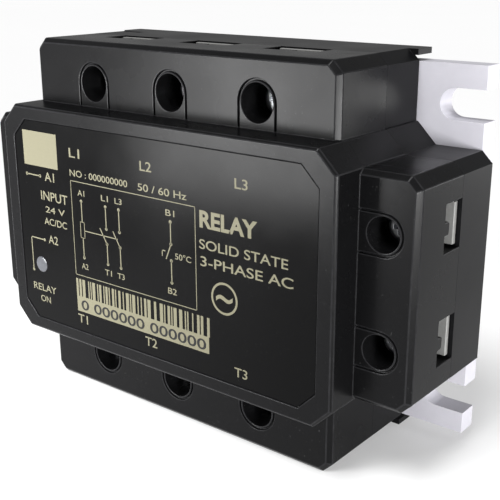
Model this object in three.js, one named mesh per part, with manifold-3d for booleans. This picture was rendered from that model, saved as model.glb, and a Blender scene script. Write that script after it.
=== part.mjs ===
// Three-phase solid state relay with two switched poles, a straight-through pole,
// a control input and a thermostat output, on an aluminium base plate.
// Millimetres. +Z is up, the label faces -Y, and the mounting face lies in the plane y = 0.

import * as THREE from 'three';
import { mergeVertices } from 'three/addons/utils/BufferGeometryUtils.js';
import Module from 'manifold-3d';

const wasm = await Module();
wasm.setup();

// ---- Driving sizes -------------------------------------------------------------------------

// Clearance left between pieces that sit on, or pass through, one another.
const gap = 0.3;

// How far a cutting solid runs past the faces it opens.
const overcut = 1;

// Facets round a screw bore, a hole, a small hole and a turned piece.
const boreFacets = 24;
const holeFacets = 20;
const smallHoleFacets = 16;
const turnedFacets = 18;

// Housing.
const overallDepth = 36.3;
const towerWidth = 81.3;
const towerHeight = 47.7;
const towerChamfer = 3.8;
const towerBevel = 0.45;
const blockWidth = 73;
const blockReach = 12.6;
const sideReach = 10.85;
const blockSetback = 6.5;
const blockChamfer = 2;
const blockBevel = 0.9;
const seamHeight = 15.8;
const wall = 1.8;
const blockWall = 1.5;
const hollowEndWall = 2;
const lipThick = 1.1;
const lipRoot = 0.5;

// Base plate.
const plateThick = 4.4;
const plateSideInset = 2.2;
const plateEndInset = 2.15;
const slotWidth = 5.6;
const slotDepth = 8.5;
const slotFromEnd = 6.9;

// Terminals: pitch along a row, and the screw axis's distance from the tower.
const terminalPitch = 20;
const screwFromTower = 4.55;
const wireDepth = 5.5;
const powerPocketWidth = 11;
const controlPocketWidth = 8.3;
const pocketSideClear = 0.5;
const powerHoleRadius = 3.4;
const controlHoleRadius = 3;
const archRing = 0.35;
const archGrooveWidth = 0.4;
const archGrooveDepth = 0.6;
const barThick = 1;
const powerBarEndRecess = 0.25;
const controlBarEndRecess = 0.7;
const barBendFromWall = 3;
const inputLegFromWall = 1;
const outputLegFromThermostat = 2.5;
const clampThick = 1;
const clampCorner = 0.35;
const threadClear = 0.2;
const powerScrewRadius = 1.95;
const powerHeadRadius = 2.9;
const controlScrewRadius = 1.7;
const controlHeadRadius = 2.55;
const headHeight = 1.8;
const headEdgeHeight = 0.85;
const headFlatShare = 0.7;
const tipChamfer = 0.5;
const screwPastBar = 1.3;
const tipRoom = 0.5;

// Cross recesses: arm length and half width as shares of the head's radius, and depths.
const recessArmShare = 0.62;
const recessWebShare = 0.14;
const recessDepth = 1.08;
const fixingRecessDepth = 0.9;

// Screws that hold the plate, the frame and the cover together.
const fixingRadius = 1.45;
const fixingHeadRadius = 2.8;
const fixingHeadHeight = 1.5;
const fixingHeadEdge = 0.2;
const fixingBite = 8;

// Label and status lamp.
const labelMarginX = 3.1;
const labelMarginZ = 2.6;
const labelChamfer = 3.5;
const labelRecess = 0.5;
const labelThick = 0.3;
const lensRadius = 1.05;
const lensFlangeRadius = 1.8;
const lensFlangeThick = 0.8;
const lensFaceRecess = 0.1;
const lensChamfer = 0.3;
const lensFromSide = 8.9;
const lensBelowMiddle = 9;
const lampRadius = 1.5;
const lampDomeSteps = 4;
const lampFacets = 14;

// Electronics.
const boardThick = 1.6;
const boardFromLens = 5;
const boardEdgeGap = 0.6;
const boardPostRadius = 1.8;
const boardPostInset = 4;
const substrateWidth = 18;
const substrateHeight = 34;
const substrateThick = 1;
const chipSize = 6.5;
const chipThick = 0.6;
const footReach = 6.5;
const varistorRadius = 5;
const varistorThick = 4;
const optoWidth = 6.4;
const optoLength = 8.8;
const optoThick = 3.4;
const thermostatWidth = 10;
const thermostatHeight = 12;
const thermostatThick = 4.2;
const thermostatLidThick = 0.6;
const tabThick = 0.8;
const tabOverhang = 3.5;
const tabRoot = 3;
const tabPastRow = 2;

// ---- Sizes that follow ---------------------------------------------------------------------

const towerHalfX = towerWidth / 2;
const towerHalfZ = towerHeight / 2;
const halfX = towerHalfX + sideReach;
const halfZ = towerHalfZ + blockReach;
const sideBlockHalfZ = towerHalfZ - towerChamfer;
const plateHalfX = halfX - plateSideInset;
const plateHalfZ = halfZ - plateEndInset;
const cavityHalfX = towerHalfX - wall;
const cavityHalfZ = towerHalfZ - wall;

const frontY = -overallDepth;
const blockFrontY = frontY + blockSetback;
const coreFrontY = blockFrontY + blockWall;
const seamY = -seamHeight;
const frameFrontY = seamY + gap;
const frameBackY = -plateThick - gap;
const barBackY = frameFrontY - gap;
const barFrontY = barBackY - barThick;
const wireFrontY = seamY - wireDepth;
const clampFrontY = wireFrontY - clampThick;
const pocketFrontY = clampFrontY - gap;
const boardFrontY = frontY + wall + labelRecess + boardFromLens;
const boardBackY = boardFrontY + boardThick;
const substrateBackY = -plateThick - gap;
const substrateFrontY = substrateBackY - substrateThick;
const chipBackY = substrateFrontY - gap;

const labelHalfX = towerHalfX - labelMarginX;
const labelHalfZ = towerHalfZ - labelMarginZ;
const lensX = -towerHalfX + lensFromSide;
const lensZ = -lensBelowMiddle;
const fixingZ = towerHalfZ + screwFromTower;
const fixingX = terminalPitch / 2;
const fixingTipY = seamY - fixingBite;
const clampTravel = barFrontY - gap - wireFrontY;

// ---- Materials -----------------------------------------------------------------------------

const finish = {
  housing: { color: 0x17181a, roughness: 0.42, metalness: 0 },
  frame: { color: 0x141517, roughness: 0.5, metalness: 0 },
  label: { color: 0x1b1c1e, roughness: 0.35, metalness: 0 },
  lens: { color: 0x8f9290, roughness: 0.2, metalness: 0 },
  lamp: { color: 0x9ccb86, roughness: 0.3, metalness: 0 },
  aluminium: { color: 0xd8d6de, roughness: 0.4, metalness: 1 },
  copper: { color: 0xb9b6ae, roughness: 0.35, metalness: 1 },
  steel: { color: 0xb9bbbd, roughness: 0.3, metalness: 1 },
  board: { color: 0x1e6b3c, roughness: 0.5, metalness: 0 },
  ceramic: { color: 0xf0eee6, roughness: 0.6, metalness: 0 },
  silicon: { color: 0x4a4d55, roughness: 0.25, metalness: 0.6 },
  varistor: { color: 0x2b55a8, roughness: 0.45, metalness: 0 },
  moulding: { color: 0x202124, roughness: 0.55, metalness: 0 },
};

const relay = new THREE.Group();

function addPiece(name, geometry, look, x = 0, y = 0, z = 0) {
  const mesh = new THREE.Mesh(geometry, new THREE.MeshStandardMaterial(finish[look]));
  mesh.name = name;
  mesh.position.set(x, y, z);
  relay.add(mesh);
}

// ---- Solids --------------------------------------------------------------------------------

function toSolid(geometry) {
  const bare = geometry.clone();
  bare.deleteAttribute('normal');
  bare.deleteAttribute('uv');
  const merged = mergeVertices(bare, 1e-4);
  return new wasm.Manifold(new wasm.Mesh({
    numProp: 3,
    vertProperties: new Float32Array(merged.attributes.position.array),
    triVerts: new Uint32Array(merged.index.array),
  }));
}

function toGeometry(solid) {
  const mesh = solid.getMesh();
  const geometry = new THREE.BufferGeometry();
  geometry.setAttribute('position', new THREE.BufferAttribute(mesh.vertProperties, 3));
  geometry.setIndex(new THREE.BufferAttribute(mesh.triVerts, 1));
  geometry.computeVertexNormals();
  return geometry;
}

function boxGeometry(low, high) {
  const size = high.map((value, i) => value - low[i]);
  const box = new THREE.BoxGeometry(...size);
  box.translate(...high.map((value, i) => (value + low[i]) / 2));
  return box;
}

function box(low, high) {
  return toSolid(boxGeometry(low, high));
}

function cylinderY(radius, y0, y1, x, z, facets) {
  const geometry = new THREE.CylinderGeometry(radius, radius, y1 - y0, facets);
  geometry.translate(x, (y0 + y1) / 2, z);
  return toSolid(geometry);
}

function chamferedOutline(halfWidth, halfHeight, chamfer) {
  const outline = new THREE.Shape();
  outline.moveTo(-halfWidth + chamfer, -halfHeight);
  outline.lineTo(halfWidth - chamfer, -halfHeight);
  outline.lineTo(halfWidth, -halfHeight + chamfer);
  outline.lineTo(halfWidth, halfHeight - chamfer);
  outline.lineTo(halfWidth - chamfer, halfHeight);
  outline.lineTo(-halfWidth + chamfer, halfHeight);
  outline.lineTo(-halfWidth, halfHeight - chamfer);
  outline.lineTo(-halfWidth, -halfHeight + chamfer);
  outline.closePath();
  return outline;
}

// An outline in X and Z, run along Y from y0 back to y1.
function prismY(outline, y0, y1) {
  const geometry = new THREE.ExtrudeGeometry(outline, {
    depth: y1 - y0,
    bevelEnabled: false,
    curveSegments: 10,
  });
  geometry.rotateX(Math.PI / 2);
  geometry.translate(0, y1, 0);
  return geometry;
}

// The same prism with its front edge bevelled all round.
function bevelledPrismY(outline, y0, y1, bevel) {
  const geometry = new THREE.ExtrudeGeometry(outline, {
    depth: y1 - y0,
    bevelEnabled: true,
    bevelThickness: bevel,
    bevelSize: bevel,
    bevelOffset: -bevel,
    bevelSegments: 1,
  });
  geometry.rotateX(Math.PI / 2);
  geometry.translate(0, y1 + bevel, 0);
  return toSolid(geometry);
}

// A piece turned about the Y axis, from points given as radius and Y.
function turnedGeometry(points, facets) {
  return new THREE.LatheGeometry(points.map(([r, y]) => new THREE.Vector2(r, y)), facets);
}

// A strip bent in the YZ plane, with its width along X.
function stripAlongX(points, width) {
  const outline = new THREE.Shape(points.map(([y, z]) => new THREE.Vector2(y, z)));
  const geometry = new THREE.ExtrudeGeometry(outline, { depth: width, bevelEnabled: false });
  const axes = new THREE.Matrix4();
  axes.set(0, 0, 1, -width / 2, 1, 0, 0, 0, 0, 1, 0, 0, 0, 0, 0, 1);
  geometry.applyMatrix4(axes);
  return geometry;
}

// A strip bent in the XY plane, with its width along Z.
function stripAlongZ(points, width) {
  const outline = new THREE.Shape(points.map(([x, y]) => new THREE.Vector2(x, y)));
  const geometry = new THREE.ExtrudeGeometry(outline, { depth: width, bevelEnabled: false });
  geometry.translate(0, 0, -width / 2);
  return geometry;
}

// ---- Terminals -----------------------------------------------------------------------------

// One entry per terminal: its name, screw position, outward direction and row.
function powerTerminal(name, column, side) {
  return { name, x: column * terminalPitch, z: side * fixingZ, outX: 0, outZ: side, power: true };
}

function controlTerminal(name, side, row) {
  const x = side * (towerHalfX + screwFromTower);
  return { name, x, z: row * terminalPitch / 2, outX: side, outZ: 0, power: false };
}

const powerTerminals = [
  powerTerminal('L1', -1, 1),
  powerTerminal('L2', 0, 1),
  powerTerminal('L3', 1, 1),
  powerTerminal('T1', -1, -1),
  powerTerminal('T2', 0, -1),
  powerTerminal('T3', 1, -1),
];

const controlTerminals = [
  controlTerminal('A1', -1, 1),
  controlTerminal('A2', -1, -1),
  controlTerminal('B1', 1, 1),
  controlTerminal('B2', 1, -1),
];

const terminals = [...powerTerminals, ...controlTerminals];

function holeRadius(terminal) {
  return terminal.power ? powerHoleRadius : controlHoleRadius;
}

function screwRadius(terminal) {
  return terminal.power ? powerScrewRadius : controlScrewRadius;
}

function pocketWidth(terminal) {
  return terminal.power ? powerPocketWidth : controlPocketWidth;
}

function barWidth(terminal) {
  return pocketWidth(terminal) - 2 * pocketSideClear;
}

// A box given along a terminal's outward direction, from near to far, and across it.
function terminalBox(terminal, near, far, width, y0, y1) {
  const across = width / 2;
  if (terminal.power) {
    const ends = [near * terminal.outZ, far * terminal.outZ];
    return box([terminal.x - across, y0, Math.min(...ends)], [terminal.x + across, y1, Math.max(...ends)]);
  }
  const ends = [near * terminal.outX, far * terminal.outX];
  return box([Math.min(...ends), y0, terminal.z - across], [Math.max(...ends), y1, terminal.z + across]);
}

function towerHalf(terminal) {
  return terminal.power ? towerHalfZ : towerHalfX;
}

function outerHalf(terminal) {
  return terminal.power ? halfZ : halfX;
}

// ---- Housing -------------------------------------------------------------------------------

// The cross-shaped body, from the planes y0 to y1, with bevelled fronts where they fall inside.
function housingBody(y0, y1) {
  const tower = chamferedOutline(towerHalfX, towerHalfZ, towerChamfer);
  const blocks = chamferedOutline(blockWidth / 2, halfZ, blockChamfer);
  const sides = chamferedOutline(halfX, sideBlockHalfZ, blockChamfer);
  const whole = bevelledPrismY(tower, frontY, 0, towerBevel)
    .add(bevelledPrismY(blocks, blockFrontY, 0, blockBevel))
    .add(bevelledPrismY(sides, blockFrontY, 0, blockBevel));
  return whole.intersect(box([-2 * halfX, y0, -2 * halfZ], [2 * halfX, y1, 2 * halfZ]));
}

// An arch-shaped prism: round over the screw, straight back to the given distance.
function archPrism(terminal, radius, near, y0, y1) {
  const screwAt = Math.abs(terminal.power ? terminal.z : terminal.x);
  return cylinderY(radius, y0, y1, terminal.x, terminal.z, boreFacets)
    .add(terminalBox(terminal, near, screwAt, 2 * radius, y0, y1));
}

// The narrow arch-shaped groove round a screw bore, running in to the tower's side.
function archGroove(terminal) {
  const near = towerHalf(terminal);
  const ring = holeRadius(terminal) + archRing;
  const outline = ring + archGrooveWidth;
  const outer = archPrism(terminal, outline, near, blockFrontY - overcut, blockFrontY + archGrooveDepth);
  const pad = archPrism(terminal, ring, near - overcut, blockFrontY - 2 * overcut, blockFrontY + overcut);
  return outer.subtract(pad);
}

// Where a terminal's screw is reached, its wire goes in, its clamp moves and its bar passes.
function terminalSpace(terminal) {
  const outer = outerHalf(terminal);
  const inner = towerHalf(terminal);
  const width = pocketWidth(terminal);
  const barSlot = barWidth(terminal) + 2 * gap;
  const bore = holeRadius(terminal);
  const backY = seamY + overcut;
  const boreEndY = pocketFrontY + overcut;
  return terminalBox(terminal, inner, outer - blockWall, width, pocketFrontY, backY)
    .add(terminalBox(terminal, outer - 2 * blockWall, outer + overcut, width, wireFrontY, backY))
    .add(terminalBox(terminal, inner - 2 * wall, inner + overcut, barSlot, barFrontY - gap, backY))
    .add(cylinderY(bore, blockFrontY - overcut, boreEndY, terminal.x, terminal.z, boreFacets))
    .add(archGroove(terminal));
}

function eachCorner(action) {
  for (const sideX of [-1, 1]) {
    for (const sideZ of [-1, 1]) {
      action(sideX, sideZ);
    }
  }
}

// Hollows from y0 to y1 that keep the walls even where no terminal stands.
function sideHollows(y0, y1) {
  const nearX = terminalPitch + powerPocketWidth / 2 + wall;
  const farX = blockWidth / 2 - wall;
  const midZ = terminalPitch / 2 - controlPocketWidth / 2 - wall;
  const hollows = [];
  eachCorner((sideX, sideZ) => {
    const xs = [sideX * nearX, sideX * farX];
    const zs = [sideZ * towerHalfZ, sideZ * (halfZ - hollowEndWall)];
    const low = [Math.min(...xs), y0, Math.min(...zs)];
    hollows.push(box(low, [Math.max(...xs), y1, Math.max(...zs)]));
  });
  for (const side of [-1, 1]) {
    const xs = [side * towerHalfX, side * (halfX - blockWall)];
    hollows.push(box([Math.min(...xs), y0, -midZ], [Math.max(...xs), y1, midZ]));
  }
  return hollows;
}

function frontCover() {
  const cavityFrontY = frontY + labelRecess + wall;
  const backY = seamY + overcut;
  let cover = housingBody(frontY - overcut, seamY);
  const cavity = chamferedOutline(cavityHalfX, cavityHalfZ, towerChamfer);
  cover = cover.subtract(toSolid(prismY(cavity, cavityFrontY, backY)));
  const panel = chamferedOutline(labelHalfX, labelHalfZ, labelChamfer);
  cover = cover.subtract(toSolid(prismY(panel, frontY - overcut, frontY + labelRecess)));
  eachCorner((sideX, sideZ) => {
    const x = sideX * (cavityHalfX - boardPostInset);
    const z = sideZ * (cavityHalfZ - boardPostInset);
    const postEndY = boardFrontY - gap;
    cover = cover.add(cylinderY(boardPostRadius, cavityFrontY - overcut, postEndY, x, z, smallHoleFacets));
  });
  for (const hollow of sideHollows(coreFrontY, backY)) {
    cover = cover.subtract(hollow);
  }
  for (const terminal of terminals) {
    cover = cover.subtract(terminalSpace(terminal));
  }
  eachCorner((sideX, sideZ) => {
    const x = sideX * fixingX;
    const z = sideZ * fixingZ;
    const radius = fixingRadius + threadClear;
    cover = cover.subtract(cylinderY(radius, fixingTipY - overcut, backY, x, z, smallHoleFacets));
  });
  const lensEndY = cavityFrontY + overcut;
  const lensHole = cylinderY(lensRadius + gap, frontY - overcut, lensEndY, lensX, lensZ, holeFacets);
  return toGeometry(cover.subtract(lensHole));
}

function rearFrame() {
  const startY = frameFrontY - overcut;
  const endY = frameBackY + overcut;
  let frame = housingBody(frameFrontY, frameBackY);
  for (const side of [-1, 1]) {
    const zs = [side * halfZ, side * (halfZ - lipThick)];
    const low = [-blockWidth / 2, frameBackY - lipRoot, Math.min(...zs)];
    frame = frame.add(box(low, [blockWidth / 2, -gap, Math.max(...zs)]));
  }
  const window = chamferedOutline(cavityHalfX, cavityHalfZ, towerChamfer);
  frame = frame.subtract(toSolid(prismY(window, startY, endY)));
  const tipEndY = barBackY + screwPastBar + clampTravel + tipRoom;
  for (const terminal of terminals) {
    const radius = screwRadius(terminal) + gap;
    frame = frame.subtract(cylinderY(radius, startY, tipEndY, terminal.x, terminal.z, smallHoleFacets));
  }
  eachCorner((sideX, sideZ) => {
    const x = sideX * fixingX;
    const z = sideZ * fixingZ;
    frame = frame.subtract(cylinderY(fixingRadius + gap, startY, endY, x, z, smallHoleFacets));
  });
  for (const hollow of sideHollows(frameFrontY + wall, endY)) {
    frame = frame.subtract(hollow);
  }
  return toGeometry(frame);
}

// ---- Base plate ----------------------------------------------------------------------------

function basePlate() {
  let plate = box([-plateHalfX, -plateThick, -plateHalfZ], [plateHalfX, 0, plateHalfZ]);
  const slotZ = plateHalfZ - slotFromEnd;
  const slotEndX = plateHalfX - slotDepth + slotWidth / 2;
  eachCorner((sideX, sideZ) => {
    const z = sideZ * slotZ;
    const xs = [sideX * slotEndX, sideX * (plateHalfX + overcut)];
    const low = [Math.min(...xs), -plateThick - overcut, z - slotWidth / 2];
    const high = [Math.max(...xs), overcut, z + slotWidth / 2];
    plate = plate.subtract(box(low, high));
    plate = plate.subtract(cylinderY(slotWidth / 2, low[1], overcut, sideX * slotEndX, z, boreFacets));
    plate = plate.subtract(fixingSpace(sideX * fixingX, sideZ * fixingZ));
  });
  return toGeometry(plate);
}

// A countersunk hole, opening at the mounting face.
function fixingSpace(x, z) {
  const through = fixingRadius + gap;
  const mouth = fixingHeadRadius + gap;
  const sink = fixingHeadHeight + gap;
  const points = [
    [0, -plateThick - overcut],
    [through, -plateThick - overcut],
    [through, -sink],
    [mouth, -gap],
    [mouth, overcut],
    [0, overcut],
  ];
  const geometry = turnedGeometry(points, holeFacets);
  geometry.translate(x, 0, z);
  return toSolid(geometry);
}

// ---- Conductors ----------------------------------------------------------------------------

// A switched pole's bar: clamped flat at the terminal, bent back to a foot on its substrate.
function poleBar(terminal) {
  const side = terminal.outZ;
  const outer = halfZ - powerBarEndRecess;
  const bend = cavityHalfZ - barBendFromWall;
  const footBackY = substrateFrontY - gap;
  const footFrontY = footBackY - barThick;
  const footEnd = bend + barThick - footReach;
  const points = [
    [barFrontY, outer],
    [barFrontY, bend],
    [footFrontY, bend],
    [footFrontY, footEnd],
    [footBackY, footEnd],
    [footBackY, bend + barThick],
    [barBackY, bend + barThick],
    [barBackY, outer],
  ];
  const strip = stripAlongX(points.map(([y, z]) => [y, side * z]), barWidth(terminal));
  strip.translate(terminal.x, 0, 0);
  return toGeometry(toSolid(strip).subtract(barHole(terminal)));
}

function barHole(terminal) {
  const radius = screwRadius(terminal) + threadClear;
  return cylinderY(radius, barFrontY - overcut, barBackY + overcut, terminal.x, terminal.z, holeFacets);
}

// The straight-through pole: one flat bar from its upper terminal to its lower one.
function throughBar(upper, lower) {
  const half = barWidth(upper) / 2;
  const outer = halfZ - powerBarEndRecess;
  return toGeometry(box([upper.x - half, barFrontY, -outer], [upper.x + half, barBackY, outer])
    .subtract(barHole(upper))
    .subtract(barHole(lower)));
}

// An input terminal's bar, bent forward to the control board.
function inputBar(terminal) {
  const side = terminal.outX;
  const outer = halfX - controlBarEndRecess;
  const leg = cavityHalfX - inputLegFromWall;
  const points = [
    [outer, barFrontY],
    [outer, barBackY],
    [leg - barThick, barBackY],
    [leg - barThick, boardBackY + gap],
    [leg, boardBackY + gap],
    [leg, barFrontY],
  ];
  const strip = stripAlongZ(points.map(([x, y]) => [side * x, y]), barWidth(terminal));
  strip.translate(0, 0, terminal.z);
  return toGeometry(toSolid(strip).subtract(barHole(terminal)));
}

// An output terminal's bar, bent back to the thermostat's tab.
function outputBar(terminal) {
  const side = terminal.outX;
  const outer = halfX - controlBarEndRecess;
  const leg = thermostatWidth / 2 + outputLegFromThermostat;
  const legEndY = thermostatTabY() - gap;
  const points = [
    [outer, barFrontY],
    [outer, barBackY],
    [leg, barBackY],
    [leg, legEndY],
    [leg - barThick, legEndY],
    [leg - barThick, barFrontY],
  ];
  const strip = stripAlongZ(points.map(([x, y]) => [side * x, y]), barWidth(terminal));
  strip.translate(0, 0, terminal.z);
  return toGeometry(toSolid(strip).subtract(barHole(terminal)));
}

// ---- Terminal screws and clamps ------------------------------------------------------------

// A cross recess from y0 to y1, sized to a head.
function crossRecess(headRadius, y0, y1) {
  const arm = headRadius * recessArmShare;
  const web = headRadius * recessWebShare;
  return box([-arm, y0, -web], [arm, y1, web]).add(box([-web, y0, -arm], [web, y1, arm]));
}

// A pan head screw with a cross recess, its head's seat at y = 0 and its tip towards +Y.
function screwGeometry(radius, headRadius, length) {
  const points = [
    [0, -headHeight],
    [headRadius * headFlatShare, -headHeight],
    [headRadius, -headEdgeHeight],
    [headRadius, 0],
    [radius, 0],
    [radius, length - tipChamfer],
    [radius - tipChamfer, length],
    [0, length],
  ];
  const turned = toSolid(turnedGeometry(points, turnedFacets));
  const recess = crossRecess(headRadius, -headHeight - overcut, recessDepth - headHeight);
  return toGeometry(turned.subtract(recess));
}

// The pressure plate under a screw's head, its front face at y = 0.
function clampGeometry(terminal) {
  const reach = outerHalf(terminal) - blockWall - towerHalf(terminal);
  const inner = screwFromTower - pocketSideClear;
  const outer = Math.min(inner, reach - screwFromTower - pocketSideClear);
  const halfAcross = barWidth(terminal) / 2 - gap;
  const halfAlong = (inner + outer) / 2;
  const shift = (outer - inner) / 2;
  const clampHalfX = terminal.power ? halfAcross : halfAlong;
  const clampHalfZ = terminal.power ? halfAlong : halfAcross;
  const plate = prismY(chamferedOutline(clampHalfX, clampHalfZ, clampCorner), 0, clampThick);
  plate.translate(shift * terminal.outX, 0, shift * terminal.outZ);
  const radius = screwRadius(terminal) + threadClear;
  const hole = cylinderY(radius, -overcut, clampThick + overcut, 0, 0, holeFacets);
  return toGeometry(toSolid(plate).subtract(hole));
}

function terminalHardware(terminal) {
  const headRadius = terminal.power ? powerHeadRadius : controlHeadRadius;
  const seatY = pocketFrontY;
  const length = barBackY + screwPastBar - seatY;
  const screw = screwGeometry(screwRadius(terminal), headRadius, length);
  addPiece(`screw_${terminal.name}`, screw, 'steel', terminal.x, seatY, terminal.z);
  const clamp = clampGeometry(terminal);
  addPiece(`clamp_plate_${terminal.name}`, clamp, 'steel', terminal.x, clampFrontY, terminal.z);
}

// ---- Fixing screws -------------------------------------------------------------------------

// A countersunk screw driven from the mounting face, its head's face at y = 0.
function fixingScrew() {
  const length = -gap - fixingTipY;
  const points = [
    [0, -length],
    [fixingRadius - tipChamfer, -length],
    [fixingRadius, -length + tipChamfer],
    [fixingRadius, -fixingHeadHeight],
    [fixingHeadRadius, -fixingHeadEdge],
    [fixingHeadRadius, 0],
    [0, 0],
  ];
  const turned = toSolid(turnedGeometry(points, turnedFacets));
  return toGeometry(turned.subtract(crossRecess(fixingHeadRadius, -fixingRecessDepth, overcut)));
}

// ---- Label and lamp ------------------------------------------------------------------------

function frontLabel() {
  const outline = chamferedOutline(labelHalfX - gap, labelHalfZ - gap, labelChamfer);
  const film = toSolid(prismY(outline, 0, labelThick));
  const endY = labelThick + overcut;
  const hole = cylinderY(lensRadius + gap, -overcut, endY, lensX, lensZ, holeFacets);
  return toGeometry(film.subtract(hole));
}

// The lens fills the hole in the cover, held by a flange behind the front wall.
function lens() {
  const flangeY = labelRecess + wall + gap;
  const points = [
    [0, lensFaceRecess],
    [lensRadius - lensChamfer, lensFaceRecess],
    [lensRadius, lensFaceRecess + lensChamfer],
    [lensRadius, flangeY],
    [lensFlangeRadius, flangeY],
    [lensFlangeRadius, flangeY + lensFlangeThick],
    [0, flangeY + lensFlangeThick],
  ];
  return turnedGeometry(points, turnedFacets);
}

// A domed lamp, standing on the board at y = 0 and facing -Y.
function lamp(height) {
  const points = [[0, -height]];
  for (let step = 1; step <= lampDomeSteps; step += 1) {
    const angle = (step / lampDomeSteps) * Math.PI / 2;
    points.push([lampRadius * Math.sin(angle), -height + lampRadius * (1 - Math.cos(angle))]);
  }
  points.push([lampRadius, 0], [0, 0]);
  return turnedGeometry(points, lampFacets);
}

// ---- Electronics ---------------------------------------------------------------------------

function controlBoard() {
  const boardHalfX = cavityHalfX - boardEdgeGap;
  const boardHalfZ = cavityHalfZ - boardEdgeGap;
  const outline = chamferedOutline(boardHalfX, boardHalfZ, towerChamfer);
  return prismY(outline, 0, boardThick);
}

function plainBox(width, thick, height) {
  return new THREE.BoxGeometry(width, thick, height);
}

function thermostatTabY() {
  return -plateThick - gap - thermostatThick;
}

// A bimetal switch lying on the plate, with a tab under each output bar's leg.
function thermostat() {
  const backY = -plateThick - gap;
  const tabFrontY = thermostatTabY();
  const half = thermostatWidth / 2;
  const halfHeight = thermostatHeight / 2;
  const tabEnd = terminalPitch / 2 + tabPastRow;
  let body = box([-half, tabFrontY - thermostatLidThick, -halfHeight], [half, backY, halfHeight]);
  for (const side of [-1, 1]) {
    const zs = [side * (halfHeight - overcut), side * tabEnd];
    const low = [half - tabRoot, tabFrontY, Math.min(...zs)];
    body = body.add(box(low, [half + tabOverhang, tabFrontY + tabThick, Math.max(...zs)]));
  }
  return toGeometry(body);
}

// ---- Assembly ------------------------------------------------------------------------------

addPiece('base_plate', basePlate(), 'aluminium');
addPiece('rear_frame', rearFrame(), 'frame');
addPiece('front_cover', frontCover(), 'housing');
addPiece('front_label', frontLabel(), 'label', 0, frontY + labelRecess - labelThick, 0);
addPiece('led_lens', lens(), 'lens', lensX, frontY, lensZ);

addPiece('control_board', controlBoard(), 'board', 0, boardFrontY, 0);
const lampHeight = boardFromLens - lensFlangeThick - 3 * gap;
addPiece('led_lamp', lamp(lampHeight), 'lamp', lensX, boardFrontY - gap, lensZ);
for (const side of [-1, 1]) {
  const optoY = boardBackY + gap + optoThick / 2;
  const place = side > 0 ? 'upper' : 'lower';
  const opto = plainBox(optoWidth, optoThick, optoLength);
  addPiece(`optocoupler_${place}`, opto, 'moulding', 0, optoY, side * terminalPitch / 2);
}

for (const [pole, side] of [['L1', -1], ['L3', 1]]) {
  const x = side * terminalPitch;
  const substrate = plainBox(substrateWidth, substrateThick, substrateHeight);
  addPiece(`ceramic_substrate_${pole}`, substrate, 'ceramic', x, substrateBackY - substrateThick / 2, 0);
  for (const [half, hand] of [['forward', -1], ['reverse', 1]]) {
    const chip = plainBox(chipSize, chipThick, chipSize);
    const chipX = x + hand * substrateWidth / 4;
    addPiece(`thyristor_${pole}_${half}`, chip, 'silicon', chipX, chipBackY - chipThick / 2, 0);
  }
  const disc = new THREE.CylinderGeometry(varistorRadius, varistorRadius, varistorThick, 20);
  addPiece(`varistor_${pole}`, disc, 'varistor', x, boardBackY + gap + varistorThick / 2, 0);
}

addPiece('thermostat', thermostat(), 'moulding');

for (const terminal of powerTerminals) {
  if (terminal.x !== 0) {
    addPiece(`busbar_${terminal.name}`, poleBar(terminal), 'copper');
  }
}
addPiece('busbar_L2_T2', throughBar(powerTerminals[1], powerTerminals[4]), 'copper');
for (const terminal of controlTerminals) {
  const bar = terminal.outX < 0 ? inputBar(terminal) : outputBar(terminal);
  addPiece(`terminal_bar_${terminal.name}`, bar, 'copper');
}

for (const terminal of terminals) {
  terminalHardware(terminal);
}

eachCorner((sideX, sideZ) => {
  const level = sideZ > 0 ? 'upper' : 'lower';
  const hand = sideX > 0 ? 'right' : 'left';
  const name = `fixing_screw_${level}_${hand}`;
  addPiece(name, fixingScrew(), 'steel', sideX * fixingX, -gap, sideZ * fixingZ);
});

export default relay;
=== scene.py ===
# Looks of a three-phase solid state relay: a black cross-shaped housing with screw terminals on
# four sides, a printed front label with a status lamp, and a slotted aluminium base plate.
# Metres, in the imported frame: the label faces -Y, +Z is up, the mounting face lies at y = 0.
import math
import random

import bmesh
import bpy
from mathutils import Euler, Matrix, Vector


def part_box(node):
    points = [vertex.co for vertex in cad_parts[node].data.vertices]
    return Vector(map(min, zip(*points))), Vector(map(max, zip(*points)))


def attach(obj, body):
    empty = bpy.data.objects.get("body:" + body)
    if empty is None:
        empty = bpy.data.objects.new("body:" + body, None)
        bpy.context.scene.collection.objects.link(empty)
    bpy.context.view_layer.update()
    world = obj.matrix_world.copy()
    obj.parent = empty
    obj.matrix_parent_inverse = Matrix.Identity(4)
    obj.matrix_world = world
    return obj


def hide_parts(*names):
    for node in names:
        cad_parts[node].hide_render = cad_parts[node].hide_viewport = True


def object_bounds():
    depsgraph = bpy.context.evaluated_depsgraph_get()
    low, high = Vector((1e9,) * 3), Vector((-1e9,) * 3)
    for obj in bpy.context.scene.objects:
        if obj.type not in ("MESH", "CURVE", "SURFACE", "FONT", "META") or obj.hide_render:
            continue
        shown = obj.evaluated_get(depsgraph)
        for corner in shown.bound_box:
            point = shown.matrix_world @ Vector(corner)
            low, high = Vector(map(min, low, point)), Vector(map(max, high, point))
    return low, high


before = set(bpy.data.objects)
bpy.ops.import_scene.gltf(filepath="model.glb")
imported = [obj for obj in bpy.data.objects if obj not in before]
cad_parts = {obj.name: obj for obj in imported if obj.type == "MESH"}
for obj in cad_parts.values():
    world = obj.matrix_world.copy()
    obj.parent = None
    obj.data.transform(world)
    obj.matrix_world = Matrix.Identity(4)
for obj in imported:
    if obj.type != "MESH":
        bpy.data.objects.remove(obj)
cad_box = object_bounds()
scene = bpy.context.scene
MM = 0.001

# ---- Camera --------------------------------------------------------------------------------
# It stands to the right of the relay and a little above it, close enough for the label to
# narrow clearly towards its far side.

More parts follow.
